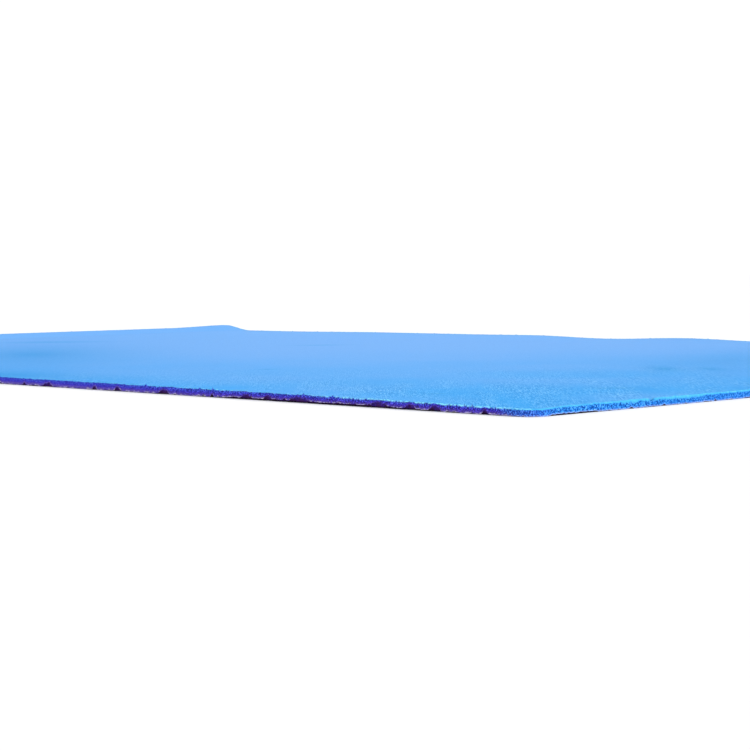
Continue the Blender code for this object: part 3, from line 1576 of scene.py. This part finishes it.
@dataclass(frozen=True)
class SoftLight:
    """A far soft light.

    Args:
        name: of the light.
        strength: in watts for each square metre.
        turn: degrees from the camera's right, anticlockwise seen from above.
        elevation: degrees above the floor.
        spread: how many degrees wide the light looks from the sheet.
    """

    name: str
    strength: float
    turn: float
    elevation: float
    spread: float

    def add(self, right: Vector) -> None:
        """Adds the light to the scene.

        Args:
            right: the level direction that points to the camera's right.
        """
        rise = math.radians(self.elevation)
        level = Matrix.Rotation(math.radians(self.turn), 3, "Z") @ right
        towards = level * math.cos(rise) + Vector((0.0, 0.0, math.sin(rise)))
        lamp = bpy.data.lights.new(self.name, "SUN")
        lamp.energy = self.strength
        lamp.angle = math.radians(self.spread)
        light = bpy.data.objects.new(self.name, lamp)
        light.rotation_mode = "QUATERNION"
        light.rotation_quaternion = towards.to_track_quat("Z", "Y")
        bpy.context.scene.collection.objects.link(light)


@dataclass
class Studio:
    """A white floor and room, soft lights from the right, the left and behind, and the camera.

    Args:
        near_corner: the sheet's corner nearest the camera, on the floor.
    """

    near_corner: Vector
    floor_size: float = 60.0
    floor_white: str = "#F2F2F2"
    room_light: float = 0.65
    room_seen: float = 1.05
    lights: tuple[SoftLight, ...] = (
        SoftLight("key_light", strength=2.6, turn=-20.0, elevation=30.0, spread=35.0),
        SoftLight("fill_light", strength=1.0, turn=-135.7, elevation=15.0, spread=40.0),
        SoftLight("back_light", strength=0.17, turn=88.0, elevation=12.0, spread=22.0),
    )
    ahead: float = 0.463  # from the camera to the corner, along the level view
    to_left: float = 0.0392  # from the corner to the camera, across that view
    eye_height: float = 0.0361
    edge_angle: float = 44.3  # degrees from -X to the level view
    look_down: float = 3.0980  # degrees
    roll: float = -0.53  # degrees
    focal_mm: float = 89.5
    sensor_mm: float = 36.0
    nearest_seen: float = 0.01
    farthest_seen: float = 100.0

    def view_axes(self) -> tuple[Vector, Vector]:
        """Finds the camera's level directions.

        Returns:
            The one that it looks along, and the one that points to its right.
        """
        turn = math.radians(self.edge_angle)
        across, along = math.sin(turn), math.cos(turn)
        return Vector((-along, across, 0.0)), Vector((across, along, 0.0))

    def add_floor(self) -> None:
        """Lays a large matte white floor under the sheet."""
        grid = bmesh.new()
        bmesh.ops.create_grid(grid, x_segments=1, y_segments=1, size=self.floor_size / 2)
        mesh = bpy.data.meshes.new("studio_floor")
        grid.to_mesh(mesh)
        grid.free()
        paper = bpy.data.materials.new("white_studio_paper")
        paper.use_nodes = True
        shader = paper.node_tree.nodes["Principled BSDF"]
        shader.inputs["Base Color"].default_value = linear(self.floor_white)
        shader.inputs["Roughness"].default_value = 1.0
        shader.inputs["Specular IOR Level"].default_value = 0.0
        mesh.materials.append(paper)
        floor = bpy.data.objects.new("studio_floor", mesh)
        bpy.context.scene.collection.objects.link(floor)

    def add_room(self) -> None:
        """Surrounds the sheet with an even white room that looks brighter than the light it gives."""
        room = bpy.data.worlds.new("white_room")
        room.use_nodes = True
        tree = room.node_tree
        tree.nodes.clear()
        seen = add_node(tree, "ShaderNodeLightPath").outputs["Is Camera Ray"]
        inputs = {"Value": seen, "To Min": self.room_light, "To Max": self.room_seen}
        strength = add_node(tree, "ShaderNodeMapRange", sockets=inputs).outputs["Result"]
        inputs = {"Color": (1.0, 1.0, 1.0, 1.0), "Strength": strength}
        light = add_node(tree, "ShaderNodeBackground", sockets=inputs).outputs["Background"]
        add_node(tree, "ShaderNodeOutputWorld", sockets={"Surface": light})
        bpy.context.scene.world = room

    def add_camera(self) -> None:
        """Puts the camera just above the floor, in front of the near corner."""
        look, right = self.view_axes()
        place = self.near_corner - look * self.ahead - right * self.to_left
        place.z = self.near_corner.z + self.eye_height
        down = math.radians(self.look_down)
        aim = look * math.cos(down) - Vector((0.0, 0.0, math.sin(down)))
        camera = bpy.data.cameras.new("camera")
        camera.sensor_width = self.sensor_mm
        camera.lens = self.focal_mm
        camera.clip_start = self.nearest_seen
        camera.clip_end = self.farthest_seen
        holder = bpy.data.objects.new("camera", camera)
        turn = aim.to_track_quat("-Z", "Y").to_matrix().to_4x4()
        turn = turn @ Matrix.Rotation(math.radians(self.roll), 4, "Z")
        holder.matrix_world = Matrix.Translation(place) @ turn
        bpy.context.scene.collection.objects.link(holder)
        bpy.context.scene.camera = holder

    def build(self) -> None:
        """Sets up the floor, the room, the lights, the camera and how light turns into colour."""
        self.add_floor()
        self.add_room()
        _, right = self.view_axes()
        for light in self.lights:
            light.add(right)
        self.add_camera()
        bpy.context.scene.view_settings.view_transform = "Standard"


def report(pieces: Iterable[bpy.types.Object]) -> None:
    """Logs each piece with its size and its number of triangles.

    Args:
        pieces: the pieces.
    """
    for piece in pieces:
        triangles = sum(len(face.vertices) - 2 for face in piece.data.polygons)
        size = " x ".join(f"{side / MM:.1f}" for side in piece.dimensions)
        log.info("%s: %s mm, %d triangles", piece.name, size, triangles)


def main() -> None:
    """Builds the sheet, then the studio round it."""
    logging.basicConfig(level=logging.INFO, format="%(name)s: %(message)s")
    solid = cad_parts[NODE]
    sheet = FoamSheet(solid)
    piece = sheet.build()
    low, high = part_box(NODE)
    Studio(near_corner=Vector((high.x, low.y, low.z))).build()
    bpy.context.view_layer.update()
    report([piece])


if __name__ == "__main__":
    main()
